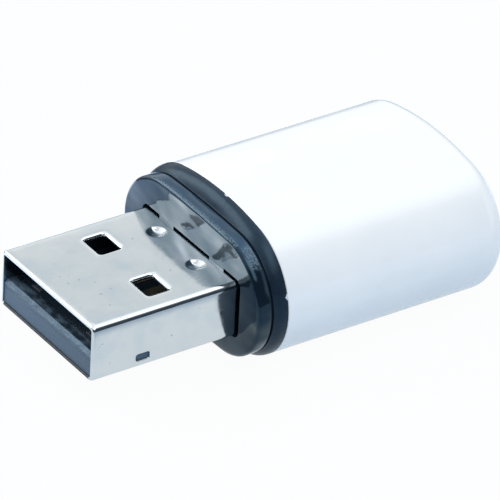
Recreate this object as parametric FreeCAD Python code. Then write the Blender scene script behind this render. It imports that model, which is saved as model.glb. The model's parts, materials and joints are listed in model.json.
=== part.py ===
import FreeCAD, Part
import math
import os

# A small wireless dongle with a type A plug, in millimetres.
# X runs along its length, from the plug's mouth to the rounded rear end, and Z is up.
# The origin lies on the surface that the dongle rests on, under the middle of its length.
# Stations named *_x below are measured along X, and heights named *_z from the resting surface.

# Plug: a folded steel sheet round a moulded tongue, to the sizes of the type A standard
plug_width = 12.0
plug_height = 4.5
plug_shell_length = 18.75
plug_reach = 12.0
sheet = 0.3
plug_bend_radius = 0.48
mouth_rounding = 0.2

# Windows, dents and latch holes in the shell, placed from the mouth and from the middle of the plug
window_from_mouth = 6.55
window_spread = 3.1
window_length = 1.95
window_width = 2.45
window_corner_radius = 0.2
window_edge_bevel = 0.07
dent_from_mouth = 10.7
dent_spread = 2.5
dent_diameter = 1.4
dent_depth = 0.26
latch_from_mouth = 4.2
latch_length = 1.3
latch_height = 0.6
latch_rise = 0.6

# Seam along the shell's underside, where the folded sheet meets itself at two dovetail keys
seam_gap = 0.05
seam_key_count = 2
seam_key_from_mouth = 4.4
seam_key_pitch = 7.6
seam_key_length = 1.8
seam_key_reach = 1.0
seam_key_flare = 0.3

# Solder legs at the rear of the shell
leg_length = 1.8
leg_prong_width = 1.0
leg_arm_height = 1.1
leg_prong_proud = 0.4

# Insulator: the tongue and the block behind it
tongue_thickness = 1.84
tongue_recess = 0.12
tongue_lead_in = 0.25
block_from_mouth = 9.3
block_board_gap = 1.1
insulator_fit = 0.03
insulator_corner_radius = 0.22

# Four contacts, the outer two for power and the inner two for data
contact_width = 1.0
contact_thickness = 0.25
contact_proud = 0.05
contact_fit = 0.03
power_contact_spread = 3.5
data_contact_spread = 1.0
power_contact_from_mouth = 1.15
data_contact_from_mouth = 2.15
contact_hook_run = 0.3
contact_hook_drop = 0.3
tail_slope_run = 0.6
tail_drop = 0.6
tail_length = 2.5

# Oval body: how far its outline stands outside the plug, how much its top and bottom are crowned, and how deep the
# flat is cut that keeps its crowned underside from rocking
side_margin = 3.0
top_margin = 3.75
bottom_margin = 3.1
body_crown = 0.4
rest_flat_depth = 0.06
sleeve_wall = 1.1
rear_wall = 1.2
rear_rounding = 2.1

# Front cover, its opening round the plug and the spigot that enters the sleeve
cover_thickness = 1.1
cover_top_step = 0.85
cover_side_step = 0.28
cover_crown = 0.1
cover_edge_bevel = 0.2
opening_gap_top = 0.14
opening_gap_side = 0.34
grip_rib_spread = 3.2
grip_rib_width = 1.8
spigot_length = 3.4
spigot_wall = 0.9
spigot_fit = 0.06
tunnel_length = 1.8
tunnel_wall = 0.7
snap_width = 3.0
snap_length = 0.6
snap_height = 0.25
snap_from_end = 0.5
snap_fit = 0.1

# Collar between the cover and the sleeve
collar_depth = 1.25
collar_swell = 0.75
parting_gap = 0.15
parting_depth = 0.2

# Ribs inside the sleeve: rails that hold the board's edges, and stiffeners under the roof
rail_grip = 0.6
rail_thickness = 0.7
rail_from_shell = 0.9
rail_fit = 0.05
stiffener_spread = 3.6
stiffener_thickness = 0.8
stiffener_drop = 2.0

# Circuit board, whose length sets how far the body reaches behind the plug
board_length = 12.95
board_thickness = 0.8
board_side_gap = 0.7
board_end_gap = 0.25
board_front_inset = 0.65
board_nose_gap = 0.2
board_shell_gap = 0.25
board_corner_radius = 0.5
leg_slot_fit = 0.1

# Parts on the board, with each package at its catalogue size
part_gap = 0.3
radio_chip_size = 4.0
radio_chip_height = 0.85
radio_chip_pads = 6
flash_chip_length = 3.0
flash_chip_width = 2.0
flash_chip_height = 0.6
flash_chip_pads = 4
crystal_length = 2.5
crystal_width = 2.0
crystal_height = 0.65
regulator_body = 1.6
regulator_width = 2.9
regulator_height = 1.1
protector_body = 0.8
protector_width = 1.6
protector_height = 0.6
lead_reach = 0.45
lead_thickness = 0.13
lead_shoulder = 0.14
lead_heel = 0.22
lead_width_share = 0.4
leads_per_side = 3
antenna_length = 5.2
antenna_depth = 2.0
antenna_height = 1.1
bulk_length = 2.0
bulk_width = 1.25
bulk_height = 1.0
bead_length = 1.6
bead_width = 0.8
bead_height = 0.8
small_length = 1.0
small_width = 0.5
small_height = 0.5
end_cap_share = 0.25
end_cap_proud = 0.02
pad_height = 0.05
pad_length = 0.25
pad_width_share = 0.5
chip_edge_bevel = 0.08

# How far cutting tools run past what they cut, the share of a corner's radius that a bevel takes up,
# and how near to a plane an edge has to lie to count as being in it
spill = 1.0
corner_bevel_share = 0.6
in_plane = 1e-4

# Sizes of the whole body
body_width = plug_width + 2 * side_margin
body_height = plug_height + top_margin + bottom_margin
total_length = plug_shell_length + board_shell_gap + board_length + board_end_gap + rear_wall

# Stations along the length
mouth_x = -total_length / 2
cover_front_x = mouth_x + plug_reach
cover_back_x = cover_front_x + cover_thickness
sleeve_front_x = cover_back_x + collar_depth
spigot_rear_x = cover_back_x + spigot_length
shell_rear_x = mouth_x + plug_shell_length
board_nose_x = shell_rear_x - board_front_inset
board_front_x = shell_rear_x + board_shell_gap
board_rear_x = board_front_x + board_length
cavity_rear_x = board_rear_x + board_end_gap
sleeve_rear_x = cavity_rear_x + rear_wall
block_front_x = mouth_x + block_from_mouth
block_rear_x = board_nose_x - block_board_gap
tail_front_x = board_nose_x - tail_slope_run
tail_rear_x = board_nose_x + tail_length
leg_rear_x = shell_rear_x + leg_length

# Heights
body_axis_z = body_height / 2 - rest_flat_depth
plug_bottom_z = bottom_margin - rest_flat_depth
plug_top_z = plug_bottom_z + plug_height
plug_axis_z = plug_bottom_z + plug_height / 2
shell_floor_z = plug_bottom_z + sheet
shell_roof_z = plug_top_z - sheet
tongue_top_z = shell_floor_z + tongue_thickness
contact_top_z = tongue_top_z + contact_proud
contact_floor_z = contact_top_z - contact_thickness
board_top_z = contact_floor_z - tail_drop
board_bottom_z = board_top_z - board_thickness

# Widths shared by pieces that fit in each other
shell_bore_width = plug_width - 2 * sheet
shell_bore_height = plug_height - 2 * sheet
cavity_width = body_width - 2 * sleeve_wall
cavity_height = body_height - 2 * sleeve_wall
spigot_width = cavity_width - 2 * spigot_fit
spigot_height = cavity_height - 2 * spigot_fit
cover_width = body_width - 2 * cover_side_step
cover_height = body_height - 2 * cover_top_step
board_width = cavity_width - 2 * board_side_gap
dent_ball_radius = ((dent_diameter / 2) ** 2 + dent_depth ** 2) / (2 * dent_depth)
dent_back_radius = math.sqrt((dent_ball_radius + sheet) ** 2 - (dent_ball_radius - dent_depth + sheet) ** 2)
snap_x = spigot_rear_x - snap_from_end - snap_length / 2


def block(x_low, x_high, y_low, y_high, z_low, z_high):
    """A rectangular solid between two corners."""
    size = (x_high - x_low, y_high - y_low, z_high - z_low)
    return Part.makeBox(*size, FreeCAD.Vector(x_low, y_low, z_low))


def mirrored(shape):
    """The same shape on the other side of the length axis, with the original."""
    return [shape, shape.mirror(FreeCAD.Vector(0, 0, 0), FreeCAD.Vector(0, 1, 0))]


def edges_across(shape, x):
    """The edges of a shape that lie in the plane across X at the given station."""
    boxes = [(edge, edge.BoundBox) for edge in shape.Edges]
    return [edge for edge, box in boxes if abs(box.XMin - x) < in_plane and abs(box.XMax - x) < in_plane]


def edges_along(shape):
    """The straight edges of a shape that run parallel to X."""
    boxes = [(edge, edge.BoundBox) for edge in shape.Edges]
    return [edge for edge, box in boxes if box.YLength < in_plane and box.ZLength < in_plane]


def upright_edges(shape):
    """The straight edges of a shape that run parallel to Z."""
    boxes = [(edge, edge.BoundBox) for edge in shape.Edges]
    return [edge for edge, box in boxes if box.XLength < in_plane and box.YLength < in_plane]


def oval(x, width, height, crown):
    """A closed oval of four tangent arcs across X, centred on the body's axis.

    The two side arcs have a radius of half the height less the crown. The top and bottom arcs have the one
    radius that meets them without a corner, so an oval that is smaller all round keeps the same crown.
    """
    half_width = width / 2
    half_height = height / 2
    side_radius = half_height - crown
    side_centre = half_width - side_radius
    top_radius = (side_centre ** 2 + half_height ** 2 - side_radius ** 2) / (2 * crown)
    lean = math.atan2(side_centre, top_radius - half_height)
    shoulder_y = side_centre + side_radius * math.sin(lean)
    shoulder_z = side_radius * math.cos(lean)

    def spot(y, z):
        return FreeCAD.Vector(x, y, body_axis_z + z)

    arcs = [
        Part.Arc(spot(shoulder_y, -shoulder_z), spot(half_width, 0), spot(shoulder_y, shoulder_z)),
        Part.Arc(spot(shoulder_y, shoulder_z), spot(0, half_height), spot(-shoulder_y, shoulder_z)),
        Part.Arc(spot(-shoulder_y, shoulder_z), spot(-half_width, 0), spot(-shoulder_y, -shoulder_z)),
        Part.Arc(spot(-shoulder_y, -shoulder_z), spot(0, -half_height), spot(shoulder_y, -shoulder_z)),
    ]
    return Part.Wire([arc.toShape() for arc in arcs])


def oval_bar(x_low, x_high, width, height, crown):
    """A straight bar of oval section between two stations."""
    face = Part.Face(oval(x_low, width, height, crown))
    return face.extrude(FreeCAD.Vector(x_high - x_low, 0, 0))


def plug_bar(x_low, x_high, width, height, radius):
    """A bar of rectangular section with rounded long edges, centred on the plug's axis."""
    z_low = plug_axis_z - height / 2
    bar = block(x_low, x_high, -width / 2, width / 2, z_low, z_low + height)
    return bar.makeFillet(radius, edges_along(bar))


def resting_flat(shape):
    """Cut off what lies below the surface that the body rests on, which leaves a narrow flat along its underside."""
    box = shape.BoundBox
    below = block(box.XMin, box.XMax, box.YMin, box.YMax, box.ZMin - spill, 0.0)
    return shape.cut(below)


def ribbon(points, width):
    """The outline of an open polyline given some width: each corner is mitred, and both ends are square."""
    left = []
    right = []
    last = len(points) - 1
    for index, (u, v) in enumerate(points):
        before = points[max(index - 1, 0)]
        after = points[min(index + 1, last)]
        angle_in = math.atan2(v - before[1], u - before[0])
        angle_out = math.atan2(after[1] - v, after[0] - u)
        if index == 0:
            angle_in = angle_out
        if index == last:
            angle_out = angle_in
        middle = (angle_in + angle_out) / 2
        reach = width / 2 / math.cos((angle_out - angle_in) / 2)
        left.append((u - reach * math.sin(middle), v + reach * math.cos(middle)))
        right.append((u + reach * math.sin(middle), v - reach * math.cos(middle)))
    return left + right[::-1]


def upright_slab(outline, y_low, y_high):
    """A slab between two planes across Y, from an outline of (x, z) points."""
    corners = [FreeCAD.Vector(x, y_low, z) for x, z in outline]
    face = Part.Face(Part.makePolygon(corners + corners[:1]))
    return face.extrude(FreeCAD.Vector(0, y_high - y_low, 0))


def flat_slab(outline, z_low, z_high):
    """A slab between two heights, from an outline of (x, y) points."""
    corners = [FreeCAD.Vector(x, y, z_low) for x, y in outline]
    face = Part.Face(Part.makePolygon(corners + corners[:1]))
    return face.extrude(FreeCAD.Vector(0, 0, z_high - z_low))


# Plug shell

def window_cuts():
    """Four rounded windows, two in the top of the shell and two in its underside."""
    x = mouth_x + window_from_mouth
    half_length = window_length / 2
    half_width = window_width / 2
    y = window_spread
    bar = block(x - half_length, x + half_length, y - half_width, y + half_width,
                plug_bottom_z - spill, plug_top_z + spill)
    return mirrored(bar.makeFillet(window_corner_radius, upright_edges(bar)))


def window_rims(shell):
    """The outer edges of the windows, on both faces of the shell."""
    x = mouth_x + window_from_mouth
    reach = window_length / 2 + window_edge_bevel
    rims = []
    for edge in shell.Edges:
        box = edge.BoundBox
        face_distance = min(abs(box.ZMin - plug_top_z), abs(box.ZMin - plug_bottom_z))
        flat = box.ZLength < in_plane and face_distance < in_plane
        beside = box.XMin > x - reach and box.XMax < x + reach
        off_middle = box.YMin * box.YMax > 0
        if flat and beside and off_middle and box.DiagonalLength < window_length + window_width:
            rims.append(edge)
    return rims


def dent_ball(growth):
    """The ball that a dent is pressed with, grown by some amount, over one side of the plug."""
    centre_z = plug_top_z - dent_depth + dent_ball_radius
    centre = FreeCAD.Vector(mouth_x + dent_from_mouth, dent_spread, centre_z)
    return Part.makeSphere(dent_ball_radius + growth, centre)


def seam_cut():
    """The narrow seam on the underside, which steps round two dovetail keys."""
    points = [(mouth_x - spill, 0.0)]
    for index in range(seam_key_count):
        x_low = mouth_x + seam_key_from_mouth + index * seam_key_pitch
        x_high = x_low + seam_key_length
        points.append((x_low, 0.0))
        points.append((x_low - seam_key_flare, seam_key_reach))
        points.append((x_high + seam_key_flare, seam_key_reach))
        points.append((x_high, 0.0))
    points.append((shell_rear_x + spill, 0.0))
    return flat_slab(ribbon(points, seam_gap), plug_bottom_z - spill, shell_floor_z + seam_gap)


def solder_leg():
    """One leg: an arm that carries on from the shell's side, and a prong down through the board."""
    arm_bottom_z = board_top_z + board_nose_gap
    arm_top_z = arm_bottom_z + leg_arm_height
    prong_front_x = leg_rear_x - leg_prong_width
    prong_tip_z = board_bottom_z - leg_prong_proud
    outline = [
        (shell_rear_x - sheet, arm_bottom_z),
        (prong_front_x, arm_bottom_z),
        (prong_front_x, prong_tip_z),
        (leg_rear_x, prong_tip_z),
        (leg_rear_x, arm_top_z),
        (shell_rear_x - sheet, arm_top_z),
    ]
    return upright_slab(outline, plug_width / 2 - sheet, plug_width / 2)


def plug_shell():
    """The folded sheet tube, with its rounded mouth, windows, dents, latch holes, seam and solder legs."""
    outside = plug_bar(mouth_x, shell_rear_x, plug_width, plug_height, plug_bend_radius)
    outside = outside.makeFillet(mouth_rounding, edges_across(outside, mouth_x))
    bore = plug_bar(mouth_x - spill, shell_rear_x + spill, shell_bore_width, shell_bore_height,
                    plug_bend_radius - sheet)
    shell = outside.cut(bore)
    shell = shell.cut(Part.makeCompound(window_cuts()))
    shell = shell.makeChamfer(window_edge_bevel, window_rims(shell))
    dent_x = mouth_x + dent_from_mouth
    dent_room = block(dent_x - dent_diameter, dent_x + dent_diameter,
                      dent_spread - dent_diameter, dent_spread + dent_diameter,
                      shell_roof_z - dent_depth - sheet, shell_roof_z + sheet / 2)
    for backing in mirrored(dent_ball(sheet).common(dent_room)):
        shell = shell.fuse(backing)
    for ball in mirrored(dent_ball(0.0)):
        shell = shell.cut(ball)
    latch_x = mouth_x + latch_from_mouth
    latch_z = plug_bottom_z + latch_rise
    shell = shell.cut(block(latch_x - latch_length / 2, latch_x + latch_length / 2,
                            -plug_width, plug_width, latch_z, latch_z + latch_height))
    shell = shell.cut(seam_cut())
    for leg in mirrored(solder_leg()):
        shell = shell.fuse(leg)
    return shell.removeSplitter()


# Contacts and the insulator that carries them

def contact_path(from_mouth, tip_room=0.0):
    """The middle line of a contact in (x, z): hooked tip, run along the tongue and tail on the board."""
    x = mouth_x + from_mouth
    run_z = contact_floor_z + contact_thickness / 2
    tail_z = board_top_z + contact_thickness / 2
    tip_drop = contact_hook_drop * (1 + tip_room / contact_hook_run)
    return [
        (x - tip_room, run_z - tip_drop),
        (x + contact_hook_run, run_z),
        (tail_front_x, run_z),
        (board_nose_x, tail_z),
        (tail_rear_x, tail_z),
    ]


def contact(y, from_mouth):
    """One stamped contact, centred across the plug at the given distance from its middle."""
    outline = ribbon(contact_path(from_mouth), contact_thickness)
    return upright_slab(outline, y - contact_width / 2, y + contact_width / 2)


def contact_channel(y, from_mouth):
    """The room for a contact in the insulator, with its floor at the contact's own floor."""
    raised = [(x, z + contact_fit / 2) for x, z in contact_path(from_mouth, contact_fit)]
    outline = ribbon(raised, contact_thickness + contact_fit)
    half_width = contact_width / 2 + contact_fit
    return upright_slab(outline, y - half_width, y + half_width)


def plug_insulator():
    """The moulded tongue and the block behind it.

    Channels hold the contacts, pockets leave room for the dents, and nubs click into the latch holes.
    """
    half_width = shell_bore_width / 2 - insulator_fit
    tongue_front_x = mouth_x + tongue_recess
    tongue = block(tongue_front_x, block_rear_x, -half_width, half_width, shell_floor_z, tongue_top_z)
    front_edges = edges_across(tongue, tongue_front_x)
    top_edge = [edge for edge in front_edges if edge.BoundBox.ZMin > tongue_top_z - in_plane]
    tongue = tongue.makeChamfer(tongue_lead_in, top_edge)
    rear = block(block_front_x, block_rear_x, -half_width, half_width,
                 shell_floor_z, shell_roof_z - insulator_fit)
    body = tongue.fuse(rear).removeSplitter()
    envelope = plug_bar(mouth_x, block_rear_x + spill, 2 * half_width, shell_bore_height,
                        insulator_corner_radius)
    body = body.common(envelope)
    pocket_floor_z = shell_roof_z - dent_depth - insulator_fit
    pocket = Part.makeCylinder(dent_back_radius + insulator_fit, spill,
                               FreeCAD.Vector(mouth_x + dent_from_mouth, dent_spread, pocket_floor_z))
    for side in mirrored(pocket):
        body = body.cut(side)
    latch_x = mouth_x + latch_from_mouth
    nub_reach = latch_length / 2 - insulator_fit
    nub_z = plug_bottom_z + latch_rise + insulator_fit
    nub = block(latch_x - nub_reach, latch_x + nub_reach, half_width - sheet, plug_width / 2 - sheet / 2,
                nub_z, nub_z + latch_height - 2 * insulator_fit)
    for side in mirrored(nub):
        body = body.fuse(side)
    for y in (-power_contact_spread, power_contact_spread):
        body = body.cut(contact_channel(y, power_contact_from_mouth))
    for y in (-data_contact_spread, data_contact_spread):
        body = body.cut(contact_channel(y, data_contact_from_mouth))
    return body.removeSplitter()


# Front cover, collar and sleeve

def opening(x_low, x_high, growth):
    """The room for the plug through the cover, grown all round by some amount."""
    width = plug_width + 2 * (opening_gap_side + growth)
    height = plug_height + 2 * (opening_gap_top + growth)
    return plug_bar(x_low, x_high, width, height, plug_bend_radius + opening_gap_top + growth)


def snap_ridges(growth):
    """Two ridges on the spigot, above and below, grown by some amount for the pockets they click into."""
    half_length = snap_length / 2 + growth
    half_width = snap_width / 2 + growth
    top_z = body_axis_z + spigot_height / 2 + snap_height + growth
    bottom_z = 2 * body_axis_z - top_z
    return block(snap_x - half_length, snap_x + half_length, -half_width, half_width, bottom_z, top_z)


def front_cover():
    """The glossy front moulding: an oval plate round the plug, a tunnel behind it and a spigot."""
    plate = oval_bar(cover_front_x, cover_back_x, cover_width, cover_height, cover_crown)
    plate = plate.makeChamfer(cover_edge_bevel, edges_across(plate, cover_front_x))
    spigot = oval_bar(cover_back_x, spigot_rear_x, spigot_width, spigot_height, body_crown)
    tunnel_rear_x = cover_back_x + tunnel_length
    tunnel = opening(cover_back_x, tunnel_rear_x, tunnel_wall).common(spigot)
    ridges = snap_ridges(0.0)
    spigot = spigot.fuse(ridges)
    hollow = oval_bar(cover_back_x, spigot_rear_x + spill, spigot_width - 2 * spigot_wall,
                      spigot_height - 2 * spigot_wall, body_crown)
    cover = plate.fuse(spigot.cut(hollow)).fuse(tunnel)
    cover = cover.cut(opening(cover_front_x - spill, spigot_rear_x + spill, 0.0))
    rib_low_z = plug_bottom_z - opening_gap_top - tunnel_wall / 2
    rib_high_z = plug_top_z + opening_gap_top + tunnel_wall / 2
    rib = block(cover_front_x, tunnel_rear_x,
                grip_rib_spread - grip_rib_width / 2, grip_rib_spread + grip_rib_width / 2,
                rib_low_z, rib_high_z)
    plug_room = block(cover_front_x - spill, spigot_rear_x, -plug_width, plug_width,
                      plug_bottom_z, plug_top_z)
    for pair in mirrored(rib.cut(plug_room)):
        cover = cover.fuse(pair)
    return cover.removeSplitter()


def collar_section(x, share):
    """The collar's outline at a station, some share of the way from the cover's outline to the body's."""
    width = cover_width + share * (body_width - cover_width)
    height = cover_height + share * (body_height - cover_height)
    crown = cover_crown + share * (body_crown - cover_crown)
    return oval(x, width, height, crown)


def collar_ring():
    """The ring that flares from the cover's outline to the sleeve's, behind a narrow parting line."""
    front_x = cover_back_x + parting_gap
    middle_x = (front_x + sleeve_front_x) / 2
    sections = [
        collar_section(front_x, 0.0),
        collar_section(middle_x, collar_swell),
        collar_section(sleeve_front_x, 1.0),
    ]
    flare = resting_flat(Part.makeLoft(sections, True, True))
    land = oval_bar(cover_back_x, front_x,
                    cover_width - 2 * parting_depth, cover_height - 2 * parting_depth, cover_crown)
    hole = oval_bar(cover_back_x - spill, sleeve_front_x + spill, cavity_width, cavity_height, body_crown)
    return flare.fuse(land).cut(hole).removeSplitter()


def sleeve_ribs():
    """The rails that hold the board's edges, their end stops, and the stiffeners under the roof."""
    rail_front_x = shell_rear_x + rail_from_shell
    rail_inner_y = board_width / 2 - rail_grip
    upper_z = board_top_z + rail_fit
    ribs = []
    levels = ((board_bottom_z - rail_thickness, board_bottom_z), (upper_z, upper_z + rail_thickness))
    for z_low, z_high in levels:
        rail = block(rail_front_x, sleeve_rear_x, rail_inner_y, body_width / 2, z_low, z_high)
        ribs.extend(mirrored(rail))
    stop_front_x = board_rear_x + rail_fit
    stop = block(stop_front_x, sleeve_rear_x, rail_inner_y, body_width / 2,
                 board_bottom_z - rail_thickness, upper_z + rail_thickness)
    ribs.extend(mirrored(stop))
    stiffener_bottom_z = body_axis_z + cavity_height / 2 - stiffener_drop
    half_thickness = stiffener_thickness / 2
    for y in (-stiffener_spread, 0.0, stiffener_spread):
        ribs.append(block(rail_front_x, sleeve_rear_x, y - half_thickness, y + half_thickness,
                          stiffener_bottom_z, body_height))
    return ribs


def bevelled_bar(x_low, x_high, width, height, corner):
    """A bar of the body's section, with its rear edge bevelled to stay inside a corner of that radius."""
    bar = oval_bar(x_low, x_high, width, height, body_crown)
    return bar.makeChamfer(corner * corner_bevel_share, edges_across(bar, x_high))


def body_sleeve():
    """The white outer cup: one oval moulding, open in front, with a rounded rear end and ribs inside."""
    outside = oval_bar(sleeve_front_x, sleeve_rear_x, body_width, body_height, body_crown)
    outside = resting_flat(outside.makeFillet(rear_rounding, edges_across(outside, sleeve_rear_x)))
    cavity = bevelled_bar(sleeve_front_x - spill, cavity_rear_x, cavity_width, cavity_height,
                          rear_rounding - sleeve_wall)
    sleeve = outside.cut(cavity)
    rib_room = bevelled_bar(sleeve_front_x, cavity_rear_x + rear_wall / 2, cavity_width + sleeve_wall,
                            cavity_height + sleeve_wall, rear_rounding - sleeve_wall / 2)
    for rib in sleeve_ribs():
        sleeve = sleeve.fuse(rib.common(rib_room))
    return sleeve.cut(snap_ridges(snap_fit)).removeSplitter()


# Circuit board

def circuit_board():
    """The board: a nose inside the shell's rear, a wide part between the rails, and slots for the legs."""
    half_width = board_width / 2
    wide = block(board_front_x, board_rear_x, -half_width, half_width, board_bottom_z, board_top_z)
    wide = wide.makeFillet(board_corner_radius, upright_edges(wide))
    nose_half = shell_bore_width / 2 - board_nose_gap
    nose = block(board_nose_x, board_front_x + board_corner_radius, -nose_half, nose_half,
                 board_bottom_z, board_top_z)
    board = wide.fuse(nose)
    slot = block(leg_rear_x - leg_prong_width - leg_slot_fit, leg_rear_x + leg_slot_fit,
                 plug_width / 2 - sheet - leg_slot_fit, plug_width / 2 + leg_slot_fit,
                 board_bottom_z - spill, board_top_z + spill)
    for side in mirrored(slot):
        board = board.cut(side)
    return board.removeSplitter()


# Parts on the board

def on_board(shape, x, y, turned=False):
    """A part made at the origin, set down on the board, and with its length across the board if turned."""
    if turned:
        shape.rotate(FreeCAD.Vector(0, 0, 0), FreeCAD.Vector(0, 0, 1), 90)
    shape.translate(FreeCAD.Vector(x, y, board_top_z))
    return shape


def two_terminal(length, width, height):
    """A chip part with a ceramic middle and a slightly larger metal cap on each end."""
    inset = end_cap_proud
    cap = length * end_cap_share
    middle = block(-length / 2, length / 2, inset - width / 2, width / 2 - inset, inset, height - inset)
    first = block(-length / 2, cap - length / 2, -width / 2, width / 2, 0.0, height)
    second = block(length / 2 - cap, length / 2, -width / 2, width / 2, 0.0, height)
    return middle.fuse([first, second]).removeSplitter()


def bevelled_block(length, width, z_low, z_high):
    """A moulded chip body, centred, with a bevel round its top."""
    body = block(-length / 2, length / 2, -width / 2, width / 2, z_low, z_high)
    top_edges = [edge for edge in body.Edges if edge.BoundBox.ZMin > z_high - in_plane]
    return body.makeChamfer(chip_edge_bevel, top_edges)


def leadless_chip(length, width, height, pads):
    """A flat chip with a bevelled top, standing on a row of pads along each of its two long sides."""
    body = bevelled_block(length, width, pad_height, height)
    pitch = length / pads
    half_pad = pitch * pad_width_share / 2
    feet = []
    for index in range(pads):
        x = (index + 0.5) * pitch - length / 2
        foot = block(x - half_pad, x + half_pad, width / 2 - pad_length, width / 2, 0.0, pad_height)
        feet.extend(mirrored(foot))
    return body.fuse(feet).removeSplitter()


def leaded_chip(length, width, height):
    """A small moulded chip with bent leads on its front and rear sides."""
    body = bevelled_block(length, width, lead_thickness, height)
    exit_z = (lead_thickness + height) / 2
    path = [
        (length / 4, exit_z),
        (length / 2 + lead_shoulder, exit_z),
        (length / 2 + lead_heel, lead_thickness / 2),
        (length / 2 + lead_reach, lead_thickness / 2),
    ]
    outline = ribbon(path, lead_thickness)
    pitch = width / leads_per_side
    half_lead = pitch * lead_width_share / 2
    bars = []
    for index in range(leads_per_side):
        y = (index + 0.5) * pitch - width / 2
        bar = upright_slab(outline, y - half_lead, y + half_lead)
        bars.append(bar)
        bars.append(bar.mirror(FreeCAD.Vector(0, 0, 0), FreeCAD.Vector(1, 0, 0)))
    return body.fuse(bars).removeSplitter()


def crystal_can():
    """The timing crystal: a ceramic base under a metal lid with cut corners."""
    half_length = crystal_length / 2
    half_width = crystal_width / 2
    base_height = crystal_height / 2
    base = block(-half_length, half_length, -half_width, half_width, 0.0, base_height)
    lid_length = half_length - chip_edge_bevel
    lid_width = half_width - chip_edge_bevel
    lid = block(-lid_length, lid_length, -lid_width, lid_width, base_height, crystal_height)
    lid = lid.makeChamfer(chip_edge_bevel, upright_edges(lid))
    return base.fuse(lid).removeSplitter()


def board_parts():
    """Every part soldered to the board, by name. Rows run from the plug's tails to the antenna."""
    power_x = tail_rear_x + part_gap + lead_reach + regulator_body / 2
    data_x = tail_rear_x + part_gap + lead_reach + protector_body / 2
    radio_x = data_x + protector_body / 2 + lead_reach + part_gap + radio_chip_size / 2
    crystal_x = power_x + regulator_body / 2 + lead_reach + part_gap + crystal_length / 2
    bulk_front_x = tail_rear_x + part_gap + bulk_width / 2
    bulk_rear_x = bulk_front_x + bulk_width + part_gap
    flash_x = bulk_rear_x + bulk_width / 2 + part_gap + flash_chip_length / 2
    antenna_x = board_rear_x - part_gap - antenna_depth / 2
    feed_x = antenna_x - antenna_depth / 2 - part_gap - small_width / 2
    side_y = board_width / 2 - rail_grip - part_gap - crystal_width / 2
    regulator_y = board_width / 2 - rail_grip - part_gap - regulator_width / 2
    bulk_y = regulator_y - (regulator_width - bulk_length) / 2
    bead_y = protector_width / 2 + part_gap + bead_width / 2
    edge_y = side_y + small_length / 2 + part_gap / 2
    near_y = side_y - small_length / 2 - part_gap / 2
    parts = {
        "voltage_regulator": on_board(
            leaded_chip(regulator_body, regulator_width, regulator_height), power_x, regulator_y),
        "surge_protector": on_board(
            leaded_chip(protector_body, protector_width, protector_height), data_x, 0.0),
        "ferrite_bead": on_board(
            two_terminal(bead_length, bead_width, bead_height), data_x, -bead_y),
        "radio_chip": on_board(
            leadless_chip(radio_chip_size, radio_chip_size, radio_chip_height, radio_chip_pads),
            radio_x, 0.0),
        "crystal": on_board(crystal_can(), crystal_x, side_y),
        "flash_chip": on_board(
            leadless_chip(flash_chip_length, flash_chip_width, flash_chip_height, flash_chip_pads),
            flash_x, -side_y),
        "chip_antenna": on_board(
            two_terminal(antenna_length, antenna_depth, antenna_height), antenna_x, 0.0, turned=True),
        "feed_inductor": on_board(
            two_terminal(small_length, small_width, small_height), feed_x, 0.0, turned=True),
    }
    for index, x in enumerate((bulk_front_x, bulk_rear_x)):
        parts[f"bulk_capacitor_{index + 1}"] = on_board(
            two_terminal(bulk_length, bulk_width, bulk_height), x, -bulk_y, turned=True)
    for index, steps in enumerate((-2, -1, 1, 2)):
        y = steps * (small_length + part_gap)
        parts[f"tuning_capacitor_{index + 1}"] = on_board(
            two_terminal(small_length, small_width, small_height), feed_x, y, turned=True)
    crystal_row_x = crystal_x + crystal_length / 2 + part_gap + small_width / 2
    for index, y in enumerate((near_y, edge_y)):
        parts[f"load_capacitor_{index + 1}"] = on_board(
            two_terminal(small_length, small_width, small_height), crystal_row_x, y, turned=True)
    flash_row_x = flash_x + flash_chip_length / 2 + part_gap + small_width / 2
    for index, y in enumerate((-near_y, -edge_y)):
        parts[f"resistor_{index + 1}"] = on_board(
            two_terminal(small_length, small_width, small_height), flash_row_x, y, turned=True)
    beside_antenna = antenna_length / 2 + part_gap + small_width / 2
    for index, y in enumerate((-beside_antenna, beside_antenna)):
        parts[f"decoupling_capacitor_{index + 1}"] = on_board(
            two_terminal(small_length, small_width, small_height), antenna_x, y)
    return parts


def all_nodes():
    """Every separate piece of the dongle, by name."""
    nodes = {
        "plug_shell": plug_shell(),
        "plug_insulator": plug_insulator(),
        "contact_vbus": contact(-power_contact_spread, power_contact_from_mouth),
        "contact_data_minus": contact(-data_contact_spread, data_contact_from_mouth),
        "contact_data_plus": contact(data_contact_spread, data_contact_from_mouth),
        "contact_ground": contact(power_contact_spread, power_contact_from_mouth),
        "front_cover": front_cover(),
        "collar_ring": collar_ring(),
        "body_sleeve": body_sleeve(),
        "circuit_board": circuit_board(),
    }
    nodes.update(board_parts())
    return nodes


os.makedirs("parts", exist_ok=True)
for node, shape in all_nodes().items():
    shape.exportStep(f"parts/{node}.step")
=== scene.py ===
import json
import math

import bmesh
import bpy
import numpy as np
from mathutils import Matrix, Vector


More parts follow.
